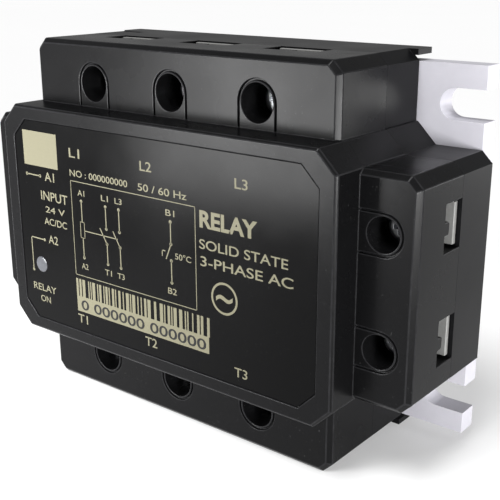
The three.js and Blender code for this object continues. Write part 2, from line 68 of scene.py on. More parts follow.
cover_low, cover_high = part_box("front_cover")
camera_right = 114.95 * MM
camera_ahead = 114.35 * MM
camera_up = 51.4 * MM
look_down, roll, turn = 17.6, 0.11, 38.55  # degrees
camera_data = bpy.data.cameras.new("camera")
camera_data.lens = 66.1
camera_data.clip_start = 0.01
camera_data.clip_end = 20
camera = bpy.data.objects.new("camera", camera_data)
camera.location = (camera_right, cover_low.y - camera_ahead, camera_up)
camera.rotation_euler = Euler(math.radians(angle) for angle in (90 - look_down, roll, turn))
scene.collection.objects.link(camera)
scene.camera = camera

# ---- Front cover ---------------------------------------------------------------------------
# One black moulding: a tower with a chamfered outline, crossed by two lower terminal blocks.
# Each terminal has a deep screw bore inside a narrow arched groove, and a wire entry in the
# outer wall with a small tongue that parts two wires. The fixing screws hold it from behind.

wall = 1.8 * MM
block_wall = 1.5 * MM
frame_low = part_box("rear_frame")[0]
seam_gap = 0.05 * MM
seam_y = frame_low.y - seam_gap
front_y = cover_low.y
half_x = cover_high.x
half_z = cover_high.z
label_low, label_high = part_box("front_label")
lens_low, lens_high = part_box("led_lens")
tower_x = label_high.x + 3.4 * MM
tower_z = label_high.z + 2.9 * MM
tower_chamfer = 3.8 * MM
tower_bevel = 0.45 * MM
block_x = 36.5 * MM
block_y = front_y + 6.5 * MM
block_chamfer = 2 * MM
block_bevel = 0.9 * MM
label_recess = 0.5 * MM
label_gap = 0.12 * MM
label_chamfer = 3.5 * MM
lamp_hole_radius = 1.5 * MM
load_pocket = 11 * MM
load_bore = 3.4 * MM
small_pocket = 8.3 * MM
small_bore = 3.0 * MM
pocket_y = front_y + 13.7 * MM
arch_depth = 0.6 * MM
arch_ring = 0.35 * MM
arch_width = 0.4 * MM
wire_height = 5.5 * MM
tongue_width = 2.3 * MM
tongue_drop = 1.45 * MM
tongue_round = 0.45 * MM
edge_round = 0.16 * MM
past = 1 * MM  # how far a cutting tool runs on beyond what it cuts
level = 1e-7  # how near a vertex lies to a height that it is at


def box_between(bm, low, high):
    """A box between two corners."""
    made = bmesh.ops.create_cube(bm, size=1.0)["verts"]
    low, high = Vector(low), Vector(high)
    bmesh.ops.scale(bm, vec=high - low, verts=made)
    bmesh.ops.translate(bm, vec=(low + high) / 2, verts=made)
    return made


def pin_between(bm, x, z, y0, y1, radius, segments=64):
    """A round pin along Y."""
    made = bmesh.ops.create_cone(
        bm, cap_ends=True, segments=segments, radius1=radius, radius2=radius, depth=y1 - y0,
    )["verts"]
    bmesh.ops.rotate(bm, matrix=Matrix.Rotation(-math.pi / 2, 3, "X"), verts=made)
    bmesh.ops.translate(bm, vec=(x, (y0 + y1) / 2, z), verts=made)
    return made


def edges_at(made, y):
    """The edges of some vertices that lie at one height along Y."""
    near = (e for v in made for e in v.link_edges)
    return list(dict.fromkeys(e for e in near if all(abs(w.co.y - y) < level for w in e.verts)))


def bevel_edges(bm, edges, width, segments):
    """Cuts edges by a flat, or rounds them where there is more than one segment."""
    return bmesh.ops.bevel(
        bm, geom=edges, offset=width, offset_type="OFFSET", affect="EDGES", segments=segments,
        profile=0.5, clamp_overlap=True, material=-1,
    )


def chamfered_block(bm, across, up, y0, y1, chamfer, front_bevel):
    """A box along Y whose long edges are cut by a chamfer and whose front edge by a bevel."""
    made = box_between(bm, (-across, y0, -up), (across, y1, up))
    near = (e for v in made for e in v.link_edges)
    long_edges = dict.fromkeys(e for e in near if e.verts[0].co.y != e.verts[1].co.y)
    bevel_edges(bm, list(long_edges), chamfer, 1)
    if front_bevel:
        bevel_edges(bm, edges_at(bm.verts, y0), front_bevel, 1)


def solid(name, build):
    """A new object from a bmesh that build fills."""
    bm = bmesh.new()
    build(bm)
    bmesh.ops.recalc_face_normals(bm, faces=bm.faces[:])
    mesh = bpy.data.meshes.new(name)
    bm.to_mesh(mesh)
    bm.free()
    thing = bpy.data.objects.new(name, mesh)
    scene.collection.objects.link(thing)
    return thing


def cut_with(thing, operation, tool):
    """Joins a tool to a thing, or cuts it from the thing, and takes the tool away."""
    modifier = thing.modifiers.new("boolean", "BOOLEAN")
    modifier.operation = operation
    modifier.solver = "EXACT"
    modifier.use_self = True
    modifier.object = tool
    graph = bpy.context.evaluated_depsgraph_get()
    mesh = bpy.data.meshes.new_from_object(thing.evaluated_get(graph))
    thing.modifiers.clear()
    thing.data = mesh
    bpy.data.objects.remove(tool)


def join_cut(thing, operation, build):
    """Joins to a thing, or cuts from it, the solid that build makes."""
    cut_with(thing, operation, solid("tool", build))


seam_reach = 0.2 * MM
merge_gap = 0.004 * MM
flat_angle = math.radians(0.4)
crease_angle = math.radians(40)
edge_segments = 2


def at_seam(edge):
    """Whether an edge lies where the cover and the rear frame meet, so that it stays crisp."""
    return all(abs(v.co.y - frame_low.y) < seam_reach for v in edge.verts)


def soften(thing, width, sharper_than=25.0):
    """Rounds the sharp edges, and marks the rounded faces in the attribute "edge"."""
    bm = bmesh.new()
    bm.from_mesh(thing.data)
    bmesh.ops.remove_doubles(bm, verts=bm.verts[:], dist=merge_gap)
    bmesh.ops.dissolve_limit(bm, angle_limit=flat_angle, verts=bm.verts[:], edges=bm.edges[:])
    limit = math.radians(sharper_than)
    band = bm.faces.layers.float.new("edge")
    sharp = [e for e in bm.edges
             if len(e.link_faces) == 2 and e.calc_face_angle(0) > limit and not at_seam(e)]
    for face in bevel_edges(bm, sharp, width, edge_segments)["faces"]:
        face[band] = 1.0
    for face in bm.faces:
        face.smooth = True
    for edge in bm.edges:
        edge.smooth = len(edge.link_faces) == 2 and edge.calc_face_angle(0) < crease_angle
    bm.to_mesh(thing.data)
    bm.free()
    weighted = thing.modifiers.new("flat faces", "WEIGHTED_NORMAL")
    weighted.keep_sharp = True
    weighted.weight = 100


def dress(thing, material, body, slot_name, *replaced):
    """Gives a finished piece its material, its body and the nodes that it stands for."""
    thing.data.materials.clear()
    thing.data.materials.append(material)
    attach(thing, body)
    if replaced:
        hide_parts(*replaced)


def terminal(name, outward, pocket, bore):
    """A terminal's axis, from its screw, with its pocket's width and its bore's radius."""
    low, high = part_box(f"screw_{name}")
    middle = (low + high) / 2
    return {"name": name, "x": middle.x, "z": middle.z, "outward": outward,
            "pocket": pocket, "bore": bore}


terminals = [terminal(n, (0, 1), load_pocket, load_bore) for n in ("L1", "L2", "L3")]
terminals += [terminal(n, (0, -1), load_pocket, load_bore) for n in ("T1", "T2", "T3")]
terminals += [terminal(n, (-1, 0), small_pocket, small_bore) for n in ("A1", "A2")]
terminals += [terminal(n, (1, 0), small_pocket, small_bore) for n in ("B1", "B2")]


def terminal_box(bm, spot, near, far, width, y0, y1):
    """A box from near to far along a terminal's outward direction."""
    out_x, out_z = spot["outward"]
    half = width / 2
    if out_z:
        low_z, high_z = sorted((near * out_z, far * out_z))
        return box_between(bm, (spot["x"] - half, y0, low_z), (spot["x"] + half, y1, high_z))
    low_x, high_x = sorted((near * out_x, far * out_x))
    return box_between(bm, (low_x, y0, spot["z"] - half), (high_x, y1, spot["z"] + half))


def reach(spot):
    """The tower's side and the block's outer face, along a terminal's outward direction."""
    return (tower_z, half_z) if spot["outward"][1] else (tower_x, half_x)


def tower(bm):
    chamfered_block(bm, tower_x, tower_z, front_y, seam_y, tower_chamfer, tower_bevel)


def upright_block(bm):
    chamfered_block(bm, block_x, half_z, block_y, seam_y, block_chamfer, block_bevel)


def cross_block(bm):
    chamfered_block(bm, half_x, tower_z - tower_chamfer, block_y, seam_y, block_chamfer,
                    block_bevel)


def cavity(bm):
    inside_front = front_y + label_recess + wall
    chamfered_block(
        bm, tower_x - wall, tower_z - wall, inside_front, seam_y + past, tower_chamfer, 0)


def label_seat(bm):
    chamfered_block(bm, label_high.x + label_gap, label_high.z + label_gap, front_y - past,
                    front_y + label_recess, label_chamfer, 0)


def lamp_hole(bm):
    middle = (lens_low + lens_high) / 2
    pin_between(bm, middle.x, middle.z, front_y - past, front_y + 5 * past, lamp_hole_radius)


def pockets(bm):
    for spot in terminals:
        inner, outer = reach(spot)
        terminal_box(
            bm, spot, inner, outer - block_wall, spot["pocket"], pocket_y, seam_y + past)


def wire_entries(bm):
    for spot in terminals:
        outer = reach(spot)[1]
        terminal_box(bm, spot, outer - 2 * block_wall, outer + past, spot["pocket"],
                     seam_y - wire_height, seam_y + 1.5 * past)


def arch_sweep(bm, spot, radius, y0, y1, near):
    """An arch-shaped prism: round over the screw, straight back towards the tower."""
    out_x, out_z = spot["outward"]
    centre = abs(spot["x"] * out_x + spot["z"] * out_z)
    pin_between(bm, spot["x"], spot["z"], y0, y1, radius)
    terminal_box(bm, spot, near, centre, 2 * radius, y0, y1)


def cut_arch_grooves(thing):
    """A narrow groove in the shape of an arch round each screw bore."""
    for spot in terminals:
        inner = reach(spot)[0]
        ring = spot["bore"] + arch_ring
        groove = solid("groove", lambda bm: arch_sweep(
            bm, spot, ring + arch_width, block_y - past, block_y + arch_depth, inner))
        join_cut(groove, "DIFFERENCE", lambda bm: arch_sweep(
            bm, spot, ring, block_y - 2 * past, block_y + 2 * past, inner - past))
        cut_with(thing, "DIFFERENCE", groove)


def bores(bm):
    for spot in terminals:
        pin_between(bm, spot["x"], spot["z"], block_y - past, pocket_y + past, spot["bore"])


def tongues(bm):
    for spot in terminals:
        outer = reach(spot)[1]
        top = seam_y - wire_height
        tongue = terminal_box(
            bm, spot, outer - block_wall, outer, tongue_width, top - past, top + tongue_drop)
        out_x, out_z = spot["outward"]
        outward = Vector((out_x, 0, out_z))
        sides = [e for e in edges_at(tongue, top + tongue_drop)
                 if abs((e.verts[0].co - e.verts[1].co).dot(outward)) > 0]
        bevel_edges(bm, sides, tongue_round, 2)


front_cover = solid("cover_moulding", tower)
join_cut(front_cover, "UNION", upright_block)
join_cut(front_cover, "UNION", cross_block)
for hollow in (cavity, label_seat, lamp_hole, pockets, wire_entries, bores):
    join_cut(front_cover, "DIFFERENCE", hollow)
cut_arch_grooves(front_cover)
join_cut(front_cover, "UNION", tongues)
soften(front_cover, edge_round)


def add_node(tree, kind, **values):
    """A new shader node with its settings."""
    node = tree.nodes.new(kind)
    for key, value in values.items():
        setattr(node, key, value)
    return node


def noise(tree, vector, scale, detail=2.0, roughness=0.5):
    """A noise of so many spots a metre."""
    node = add_node(tree, "ShaderNodeTexNoise")
    node.inputs["Scale"].default_value = scale
    node.inputs["Detail"].default_value = detail
    node.inputs["Roughness"].default_value = roughness
    tree.links.new(vector, node.inputs["Vector"])
    return node.outputs["Fac"]


def remap(tree, value, low, high, to_low, to_high):
    """A value stretched from one range to another, and held inside it."""
    node = add_node(tree, "ShaderNodeMapRange")
    node.inputs["From Min"].default_value = low
    node.inputs["From Max"].default_value = high
    node.inputs["To Min"].default_value = to_low
    node.inputs["To Max"].default_value = to_high
    tree.links.new(value, node.inputs["Value"])
    return node.outputs["Result"]


def combine(tree, operation, first, second):
    """A sum, a difference or a product of two values or sockets."""
    node = add_node(tree, "ShaderNodeMath", operation=operation)
    for socket, value in zip(node.inputs, (first, second)):
        if isinstance(value, (int, float)):
            socket.default_value = value
        else:
            tree.links.new(value, socket)
    return node.outputs["Value"]


def mix_colour(tree, factor, first, second):
    """A blend of two colours."""
    node = add_node(tree, "ShaderNodeMix", data_type="RGBA")
    sockets = [s for s in node.inputs if s.enabled]
    for socket, value in zip(sockets, (factor, first, second)):
        if isinstance(value, (int, float, tuple)):
            socket.default_value = value
        else:
            tree.links.new(value, socket)
    return [s for s in node.outputs if s.enabled][0]


def bump(tree, height, distance):
    """A relief so deep, as a normal."""
    node = add_node(tree, "ShaderNodeBump")
    node.inputs["Distance"].default_value = distance
    tree.links.new(height, node.inputs["Height"])
    return node.outputs["Normal"]


def new_group(name, inputs, outputs):
    """An empty shader node group, with the nodes where it starts and ends."""
    group = bpy.data.node_groups.new(name, "ShaderNodeTree")
    for label, kind in inputs:
        group.interface.new_socket(label, in_out="INPUT", socket_type=kind)
    for label in outputs:
        group.interface.new_socket(label, in_out="OUTPUT", socket_type="NodeSocketFloat")
    return group, add_node(group, "NodeGroupInput"), add_node(group, "NodeGroupOutput")


flow_scale = 90.0
flow_share = 1.6
smear_scale = 55.0
dust_scale = 2600.0


def moulded_surface_group():
    """Fine spark-eroded grain over slow flow waves, smears from handling, and specks of dust."""
    group, start, end = new_group(
        "moulded_surface", [("Vector", "NodeSocketVector"), ("Grain", "NodeSocketFloat")],
        ["Height", "Smear", "Dust"])
    vector = start.outputs["Vector"]
    grain = add_node(group, "ShaderNodeTexNoise")
    grain.inputs["Detail"].default_value = 3.0
    group.links.new(vector, grain.inputs["Vector"])
    group.links.new(start.outputs["Grain"], grain.inputs["Scale"])
    waves = combine(group, "MULTIPLY", noise(group, vector, flow_scale, 1.0), flow_share)
    height = combine(group, "ADD", grain.outputs["Fac"], waves)
    smears = noise(group, vector, smear_scale, 4.0, 0.62)
    smear = remap(group, smears, 0.35, 0.72, 0.0, 1.0)
    dust = remap(group, noise(group, vector, dust_scale), 0.7, 0.8, 0.0, 1.0)
    for label, value in (("Height", height), ("Smear", smear), ("Dust", dust)):
        group.links.new(value, end.inputs[label])
    return group


moulded_surface = moulded_surface_group()


def start_material(name, roughness=0.5, metallic=0.0, specular=0.5):
    """A new material, with its tree, its shader and the place on the piece."""
    material = bpy.data.materials.new(name)
    material.use_nodes = True
    tree = material.node_tree
    shader = tree.nodes["Principled BSDF"]
    shader.inputs["Roughness"].default_value = roughness
    shader.inputs["Metallic"].default_value = metallic
    shader.inputs["Specular IOR Level"].default_value = specular
    return material, tree, shader, add_node(tree, "ShaderNodeTexCoord").outputs["Object"]


def place_group(tree, group, vector, **values):
    """A shader node group set in a material, with its values."""
    node = add_node(tree, "ShaderNodeGroup", node_tree=group)
    tree.links.new(vector, node.inputs["Vector"])
    for label, value in values.items():
        node.inputs[label].default_value = value
    return node


# Scale of the noise that breaks up the painted edge highlight and the edge polish.
edge_break_scale = 700.0


def edge_polish_and_highlight_mask(tree, vector):
    """The rounded edges, broken up by noise: where a painted highlight lightens the colour, and
    where the moulding is polished.
    """
    edge = add_node(tree, "ShaderNodeAttribute", attribute_name="edge").outputs["Fac"]
    broken = remap(tree, noise(tree, vector, edge_break_scale, 3.0), 0.3, 0.7, 0.5, 1.0)
    return combine(tree, "MULTIPLY", edge, broken)


dust_colour = (0.12, 0.12, 0.12, 1)
dust_cover = 0.25
smear_polish = 0.035
smear_haze = 0.05
edge_polish = 0.08
mould_relief = 0.006 * MM
# Painted highlight: the lighter colour given to the rounded edges.
moulding_edge_highlight = (0.016, 0.016, 0.017, 1)


def moulded_plastic(name, colour, roughness, grain):
    """Black moulded plastic: grained, smeared, dusty, and polished on its edges, where a painted
    highlight lightens the colour.
    """
    material, tree, shader, vector = start_material(name, specular=0.07)
    surface = place_group(tree, moulded_surface, vector, Grain=grain)
    edge = edge_polish_and_highlight_mask(tree, vector)
    # Painted highlight: the rounded edges are lightened towards the edge colour.
    edge_highlit = mix_colour(tree, edge, colour, moulding_edge_highlight)
    dust = combine(tree, "MULTIPLY", surface.outputs["Dust"], dust_cover)
    tree.links.new(mix_colour(tree, dust, edge_highlit, dust_colour), shader.inputs["Base Color"])
    smeared = remap(tree, surface.outputs["Smear"], 0.0, 1.0, roughness - smear_polish,
                    roughness + smear_haze)
    polished = combine(tree, "SUBTRACT", smeared, combine(tree, "MULTIPLY", edge, edge_polish))
    tree.links.new(polished, shader.inputs["Roughness"])
    tree.links.new(bump(tree, surface.outputs["Height"], mould_relief), shader.inputs["Normal"])
    return material


cover_plastic = moulded_plastic("cover_plastic", (0.004, 0.004, 0.0043, 1), 0.27, 6000.0)
dress(front_cover, cover_plastic, "root", "cover_plastic", "front_cover")

# ---- Rear frame ----------------------------------------------------------------------------
# The lower half of the housing, moulded in the same black plastic with a slightly rougher
# tool. It carries the conductors and the potted electronics and ends in two thin lips that
# lap the base plate. A short catch slot is pressed into its top near the left end.

catch_x = (-34.0 * MM, -28.7 * MM)
catch_y = (-8.3 * MM, -7.0 * MM)
catch_depth = 0.6 * MM


def merged_copy(node, name):
    """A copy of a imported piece's mesh, ready to be finished."""
    thing = bpy.data.objects.new(name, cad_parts[node].data.copy())
    scene.collection.objects.link(thing)
    bm = bmesh.new()
    bm.from_mesh(thing.data)
    bmesh.ops.remove_doubles(bm, verts=bm.verts[:], dist=0.001 * MM)
    bm.to_mesh(thing.data)
    bm.free()
    return thing


def catch_slot(bm):
    box_between(bm, (catch_x[0], catch_y[0], half_z - catch_depth),
                (catch_x[1], catch_y[1], half_z + past))


rear_frame = merged_copy("rear_frame", "frame_moulding")
join_cut(rear_frame, "DIFFERENCE", catch_slot)
soften(rear_frame, edge_round)
frame_plastic = moulded_plastic("frame_plastic", (0.0045, 0.0045, 0.005, 1), 0.33, 5200.0)
dress(rear_frame, frame_plastic, "root", "frame_plastic", "rear_frame")

# ---- Front label ---------------------------------------------------------------------------
# A black polyester film printed in cream ink, glued in the shallow recess of the tower. It
# shows the terminal names, the circuit and the status lamp, with plain words and zeros where
# a maker would print its own name and numbers.

ink_height = 0.02 * MM
line_width = 0.24 * MM
frame_line = 0.15 * MM
lead_line = 0.18 * MM
contact_line = 0.2 * MM
dot_radius = 0.34
label_front = label_low.y


def ink_text(parts, words, x0, x1, z0, z1, weight=0.008):
    """Words that fill a box from (x0, z0) to (x1, z1), in mm from the label's centre."""
    curve = bpy.data.curves.new(words, "FONT")
    curve.body = words
    curve.offset = weight
    curve.extrude = 0.5
    lettering = bpy.data.objects.new(words, curve)
    scene.collection.objects.link(lettering)
    graph = bpy.context.evaluated_depsgraph_get()
    mesh = bpy.data.meshes.new_from_object(lettering.evaluated_get(graph))
    xs = [v.co.x for v in mesh.vertices]
    ys = [v.co.y for v in mesh.vertices]
    scale_x = (x1 - x0) * MM / (max(xs) - min(xs))
    scale_z = (z1 - z0) * MM / (max(ys) - min(ys))
    start = Matrix.Translation((-min(xs), -min(ys), 0))
    sized = Matrix.Diagonal((scale_x, scale_z, ink_height, 1))
    upright = Matrix.Rotation(math.pi / 2, 4, "X")
    placed = Matrix.Translation((x0 * MM, label_front - ink_height / 2, z0 * MM))
    mesh.transform(placed @ upright @ sized @ start)
    bpy.data.objects.remove(lettering)
    parts.append(mesh)


def ink_area(bm, x0, x1, z0, z1):
    """A filled rectangle."""
    box_between(bm, (x0 * MM, label_front - ink_height, z0 * MM),
                (x1 * MM, label_front, z1 * MM))


def ink_line(bm, x0, z0, x1, z1, width=line_width):
    """A straight stroke between two places on the label."""
    start, end = Vector((x0, 0, z0)) * MM, Vector((x1, 0, z1)) * MM
    length = (end - start).length + width
    made = box_between(bm, (-length / 2, -ink_height, -width / 2), (length / 2, 0, width / 2))
    turn = Matrix.Rotation(-math.atan2(z1 - z0, x1 - x0), 3, "Y")
    bmesh.ops.rotate(bm, matrix=turn, verts=made)
    bmesh.ops.translate(bm, vec=(start + end) / 2 + Vector((0, label_front, 0)), verts=made)


def ink_dot(bm, x, z):
    """A round contact point."""
    pin_between(bm, x * MM, z * MM, label_front - ink_height, label_front, dot_radius * MM,
                segments=24)


def ink_frame(bm, x0, x1, z0, z1):
    """A rectangle of four thin strokes."""
    for ends in ((x0, z0, x1, z0), (x1, z0, x1, z1), (x1, z1, x0, z1), (x0, z1, x0, z0)):
        ink_line(bm, *ends, width=frame_line)


def circuit_print(bm):
    """The blank sticker, the circuit in its frame, and the leads to the input terminals."""
    ink_area(bm, -34.9, -24.7, 11.9, 18.9)
    ink_line(bm, -34.4, 9.95, -30.3, 9.95)
    ink_line(bm, -34.45, -10.6, -34.45, -3.45)
    ink_line(bm, -34.45, -3.45, -30.3, -3.45)
    for x, z in ((-34.4, 9.95), (-30.3, 9.95), (-30.3, -3.45), (-34.45, -10.6)):
        ink_dot(bm, x, z)
    ink_frame(bm, -21.1, 11.3, -8.87, 10.36)
    ink_line(bm, -18.35, 6.5, -18.35, 2.5)
    ink_frame(bm, -18.94, -17.8, -0.84, 2.4)
    ink_line(bm, -18.35, -0.9, -18.35, -4.9)
    ink_line(bm, -17.7, 0.72, -8.6, 0.72, width=lead_line)
    for x in (-11.55, -7.95):
        ink_line(bm, x, 6.4, x, 2.2)
        ink_line(bm, x - 1.75, 2.0, x, -0.85)
        ink_line(bm, x, -0.85, x, -4.9)
        for z in (6.6, 2.2, -0.85, -4.9):
            ink_dot(bm, x, z)
    for z in (6.6, -4.9):
        ink_dot(bm, -18.35, z)
    ink_line(bm, 5.33, 6.4, 5.33, 2.4)
    ink_line(bm, 5.33, 2.4, 4.1, -0.5)
    ink_line(bm, 5.33, -0.74, 5.33, -4.95)
    for z in (6.6, 2.4, -0.74, -4.95):
        ink_dot(bm, 5.33, z)
    ink_line(bm, 3.1, 0.9, 3.1, -0.1, width=contact_line)
    ink_line(bm, 3.1, 0.9, 3.8, 0.9, width=contact_line)


sticker_left, sticker_right = -21.2, 14.1
sticker_bottom, sticker_top = -16.7, -9.7
bars_left, bars_right = -20.6, 13.2
bars_bottom = -13.4


def bar_print(bm):
    """A pale sticker with plain bars, left dark where a bar stands."""
    randomly = random.Random(4)
    x = bars_left
    ink_area(bm, sticker_left, x, sticker_bottom, sticker_top)
    while x < bars_right:
        dark = randomly.choice((0.3, 0.3, 0.6, 0.9))
        pale = randomly.choice((0.3, 0.3, 0.6, 0.8))
        pale_end = min(x + dark + pale, sticker_right)
        ink_area(bm, x + dark, pale_end, bars_bottom, sticker_top)
        x += dark + pale
    ink_area(bm, x, sticker_right, bars_bottom, sticker_top)
    ink_area(bm, bars_left, sticker_right, sticker_bottom, bars_bottom)


ring_place = (17.8 * MM, label_front, -5.2 * MM)
ring_radius = 3.0 * MM
ring_line = 0.42 * MM
ring_facets = 64


def mark_print(bm):
    """A ring round the sign for alternating current, in place of a conformity mark."""
    bmesh.ops.create_circle(bm, cap_ends=True, segments=ring_facets, radius=ring_radius)
    bmesh.ops.inset_individual(bm, faces=bm.faces[:], thickness=ring_line)
    disc = [f for f in bm.faces if len(f.verts) == ring_facets]
    bmesh.ops.delete(bm, geom=disc, context="FACES")
    thick = bmesh.ops.extrude_face_region(bm, geom=bm.faces[:])["geom"]
    raised = [v for v in thick if isinstance(v, bmesh.types.BMVert)]
    bmesh.ops.translate(bm, vec=(0, 0, ink_height), verts=raised)
    bmesh.ops.rotate(bm, matrix=Matrix.Rotation(math.pi / 2, 3, "X"), verts=bm.verts[:])
    bmesh.ops.translate(bm, vec=ring_place, verts=bm.verts[:])


# Each row is the words and their box: left, right, bottom and top.
label_words = [
    ("A1", -28.9, -26.0, 9.15, 11.0), ("INPUT", -30.4, -22.4, 5.1, 7.0),
    ("24 V", -29.3, -23.4, 2.6, 3.9), ("AC/DC", -29.9, -23.0, 0.0, 1.45),
    ("A2", -29.0, -26.1, -3.9, -2.15), ("RELAY", -34.9, -27.7, -14.9, -13.4),
    ("ON", -32.8, -29.7, -17.3, -15.9), ("L1", -21.1, -18.1, 15.0, 16.8),
    ("L2", -1.9, 1.0, 15.0, 16.8), ("L3", 20.3, 23.1, 15.0, 16.8),
    ("NO : 000000000", -21.2, -5.3, 11.3, 12.6), ("50 / 60 Hz", -2.6, 9.4, 11.2, 12.6),
    ("A1", -19.25, -17.3, 7.65, 8.8), ("L1", -12.6, -10.7, 7.65, 8.8),
    ("L3", -8.9, -7.0, 7.65, 8.8), ("A2", -19.25, -17.3, -7.3, -6.15),
    ("T1", -12.5, -10.6, -7.2, -6.05), ("T3", -9.0, -7.1, -7.2, -6.05),
    ("B1", 4.2, 6.4, 7.65, 8.8), ("50°C", 6.3, 10.2, -0.2, 1.0), ("B2", 4.3, 6.5, -7.2, -6.0),
    ("T1", -21.25, -18.4, -19.2, -17.35), ("T2", -2.1, 1.0, -19.2, -17.35),
    ("T3", 20.0, 22.9, -19.3, -17.5), ("SOLID STATE", 12.2, 31.5, 3.0, 4.8),
    ("3-PHASE AC", 12.4, 32.6, -0.15, 1.7), ("~", 15.9, 19.7, -5.9, -4.6),
]
ink_meshes = []
for words in label_words:
    ink_text(ink_meshes, *words)
ink_text(ink_meshes, "RELAY", 12.35, 25.1, 6.9, 10.05, weight=0.035)


def all_ink(bm):
    mark_print(bm)
    circuit_print(bm)
    bar_print(bm)
    for mesh in ink_meshes:
        bm.from_mesh(mesh)


label_print = solid("label_print", all_ink)


def dark_digits(bm):
    meshes = []
    ink_text(meshes, "0 000000 000000", -20.0, 13.4, -16.2, -14.1, weight=0.01)
    bm.from_mesh(meshes[0])
    bmesh.ops.translate(bm, vec=(0, -ink_height, 0), verts=bm.verts[:])


label_digits = solid("label_digits", dark_digits)


cream = (0.122, 0.115, 0.078, 1)
ink_black = (0.012, 0.012, 0.012, 1)
thin_ink = (0.02, 0.02, 0.02, 1)
film_black = (0.0015, 0.0015, 0.0016, 1)
film_dust = (0.012, 0.012, 0.012, 1)
film_relief = 0.002 * MM
film_edge = 0.05 * MM


def printed_ink(name, colour):
    """Screen-printed ink: uneven coverage, a slight relief and a duller shine than the film."""
    material, tree, shader, vector = start_material(name, specular=0.08)
    cover = remap(tree, noise(tree, vector, 5200.0, 3.0), 0.35, 0.6, 0.9, 1.0)
    tree.links.new(mix_colour(tree, cover, thin_ink, colour), shader.inputs["Base Color"])
    shine = remap(tree, noise(tree, vector, 300.0), 0.3, 0.7, 0.38, 0.5)
    tree.links.new(shine, shader.inputs["Roughness"])
    tree.links.new(bump(tree, noise(tree, vector, 9000.0), film_relief), shader.inputs["Normal"])
    return material


dress(label_print, printed_ink("cream_ink", cream), "root", "label_film")
dress(label_digits, printed_ink("black_ink", ink_black), "root", "label_film")
front_label = merged_copy("front_label", "label_film")
soften(front_label, film_edge)
label_film, tree, shader, vector = start_material("label_film", specular=0.06)
surface = place_group(tree, moulded_surface, vector, Grain=2500.0)
dusty = mix_colour(tree, surface.outputs["Dust"], film_black, film_dust)
tree.links.new(dusty, shader.inputs["Base Color"])
handled = remap(tree, surface.outputs["Smear"], 0.0, 1.0, 0.17, 0.26)
tree.links.new(handled, shader.inputs["Roughness"])
tree.links.new(bump(tree, surface.outputs["Height"], film_relief), shader.inputs["Normal"])
dress(front_label, label_film, "root", "label_film", "front_label")

# ---- Status lamp ---------------------------------------------------------------------------
# A small smoky lens pressed in from behind, standing just proud of the label inside a dark
# rim, over a green lamp on the board.

lens_middle = (lens_low + lens_high) / 2
lens_radius = (lens_high.x - lens_low.x) / 2
lens_round = 0.35 * MM
smoke_dark = (0.03, 0.032, 0.036, 1)
smoke_pale = (0.06, 0.062, 0.07, 1)
resin_dark = (0.2, 0.42, 0.16, 1)
resin_pale = (0.3, 0.6, 0.25, 1)


def lens_shape(bm):
    made = pin_between(
        bm, lens_middle.x, lens_middle.z, lens_low.y, lens_high.y, lens_radius, segments=48)
    bevel_edges(bm, edges_at(made, lens_low.y), lens_round, 4)


led_lens = solid("lens_pin", lens_shape)
soften(led_lens, 0.02 * MM, sharper_than=60.0)
lens_plastic, tree, shader, vector = start_material("lens", roughness=0.12)
clouds = noise(tree, vector, 900.0)
tree.links.new(mix_colour(tree, clouds, smoke_dark, smoke_pale), shader.inputs["Base Color"])
haze = remap(tree, noise(tree, vector, 2000.0), 0.3, 0.7, 0.08, 0.18)
tree.links.new(haze, shader.inputs["Roughness"])
tree.links.new(bump(tree, clouds, 0.004 * MM), shader.inputs["Normal"])
dress(led_lens, lens_plastic, "root", "lens", "led_lens")
lamp_resin, tree, shader, vector = start_material("lamp", roughness=0.2)
clouds = noise(tree, vector, 700.0)
tree.links.new(mix_colour(tree, clouds, resin_dark, resin_pale), shader.inputs["Base Color"])
tree.links.new(bump(tree, clouds, 0.003 * MM), shader.inputs["Normal"])


def paint_node(node, material):
    """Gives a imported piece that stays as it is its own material."""
    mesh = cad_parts[node].data
    mesh.materials.clear()
    mesh.materials.append(material)


paint_node("led_lamp", lamp_resin)

# ---- Conductors and clamps -----------------------------------------------------------------
# Tinned copper bars lead from the terminals to the switching chips. On each one a plated steel
# clamp plate is pressed down by its screw; the bar's end shows in the wire entry.

# Painted highlight: how much brighter the plating is made on its rounded edges.
edge_highlight_gain = 1.25
cloud_haze = 0.16
rolled_grain = (1.0, 14.0, 1.0)
rolled_relief = 0.004 * MM
bar_edge = 0.1 * MM
clamp_edge = 0.12 * MM


def plated_metal(name, colour, dark, roughness, grain, metallic=1.0):
    """Plated metal: cloudy plating over rolled grain, and a painted highlight that brightens the
    edges.
    """
    material, tree, shader, vector = start_material(name, metallic=metallic)
    clouds = remap(tree, noise(tree, vector, 420.0, 4.0, 0.6), 0.3, 0.75, 0.0, 1.0)
    edge = edge_polish_and_highlight_mask(tree, vector)
    plated = mix_colour(tree, clouds, colour, dark)
    # Painted highlight on the rounded edges.
    edge_highlight_colour = tuple(min(edge_highlight_gain * part, 1.0) for part in colour)
    tree.links.new(mix_colour(tree, edge, plated, edge_highlight_colour), shader.inputs["Base Color"])
    dull = remap(tree, clouds, 0.0, 1.0, roughness, roughness + cloud_haze)
    tree.links.new(dull, shader.inputs["Roughness"])
    stretch = add_node(tree, "ShaderNodeMapping")
    stretch.inputs["Scale"].default_value = rolled_grain
    tree.links.new(vector, stretch.inputs["Vector"])
    rolled = noise(tree, stretch.outputs["Vector"], grain, 3.0)
    tree.links.new(bump(tree, rolled, rolled_relief), shader.inputs["Normal"])
    return material


